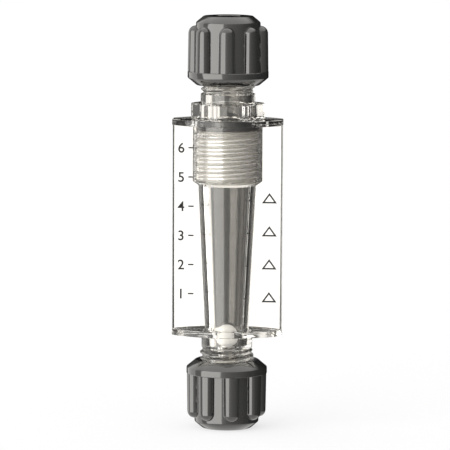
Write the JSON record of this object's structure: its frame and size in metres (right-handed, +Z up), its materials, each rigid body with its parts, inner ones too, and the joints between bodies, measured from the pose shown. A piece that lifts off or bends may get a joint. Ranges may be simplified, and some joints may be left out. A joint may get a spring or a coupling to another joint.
{
  "type": "flow indicator",
  "caption": "In-line flow indicator: clear body with a tapered bore and a white ball, lens flanges and a web, and a ribbed hand nut for tube on each end.",
  "frame": {"origin": "on the flow axis at the end face of the lower nut, on which the part stands", "axes": "+Z up along the flow axis, from the lower nut to the upper nut; X across the web and flanges; -Y is the front, which shows the printed arrows"},
  "size_m": [0.03, 0.022, 0.1126],
  "materials": {
    "clear_plastic": "polished clear plastic",
    "nut_plastic": "glossy",
    "ball_plastic": "satin",
    "seal_rubber": "satin",
    "grip_steel": "brushed",
    "spacer_plastic": "matte"
  },
  "bodies": {
    "tube": {"body": "clear_plastic"},
    "ball": {"ball": "ball_plastic"},
    "ring": {"seal_ring": "seal_rubber"},
    "fitting": {"top_fitting": "clear_plastic"},
    "upper_packing": {"upper_grip_ring": "grip_steel", "upper_spacer": "spacer_plastic", "upper_tube_seal": "seal_rubber"},
    "upper_nut": {"upper_nut": "nut_plastic"},
    "lower_packing": {"lower_grip_ring": "grip_steel", "lower_spacer": "spacer_plastic", "lower_tube_seal": "seal_rubber"},
    "lower_nut": {"lower_nut": "nut_plastic"}
  },
  "joints": [
    {"name": "ball_rise", "type": "slide", "parent": "tube", "child": "ball", "axis": [0, 0, 1], "range_m": [0, 0.0389]},
    {"name": "fitting_lift", "type": "slide", "parent": "tube", "child": "ring", "axis": [0, 0, 1], "range_m": [0, 0.0138]},
    {"name": "fitting_turn", "type": "hinge", "parent": "ring", "child": "fitting", "pos_m": [0, 0, 0], "axis": [0, 0, 1], "range_deg": [0, 2159.8]},
    {"name": "upper_nut_lift", "type": "slide", "parent": "fitting", "child": "upper_packing", "axis": [0, 0, 1], "range_m": [0, 0.009]},
    {"name": "upper_nut_turn", "type": "hinge", "parent": "upper_packing", "child": "upper_nut", "pos_m": [0, 0, 0], "axis": [0, 0, 1], "range_deg": [0, 1799.8]},
    {"name": "lower_nut_lift", "type": "slide", "parent": "tube", "child": "lower_packing", "axis": [0, 0, -1], "range_m": [0, 0.009]},
    {"name": "lower_nut_turn", "type": "hinge", "parent": "lower_packing", "child": "lower_nut", "pos_m": [0, 0, 0], "axis": [0, 0, -1], "range_deg": [0, 1799.8]}
  ],
  "couplings": [
    {"joint": "fitting_lift", "follows": "fitting_turn", "m_per_rad": 0.00036606},
    {"joint": "upper_nut_lift", "follows": "upper_nut_turn", "m_per_rad": 0.00028648},
    {"joint": "lower_nut_lift", "follows": "lower_nut_turn", "m_per_rad": 0.00028648}
  ]
}
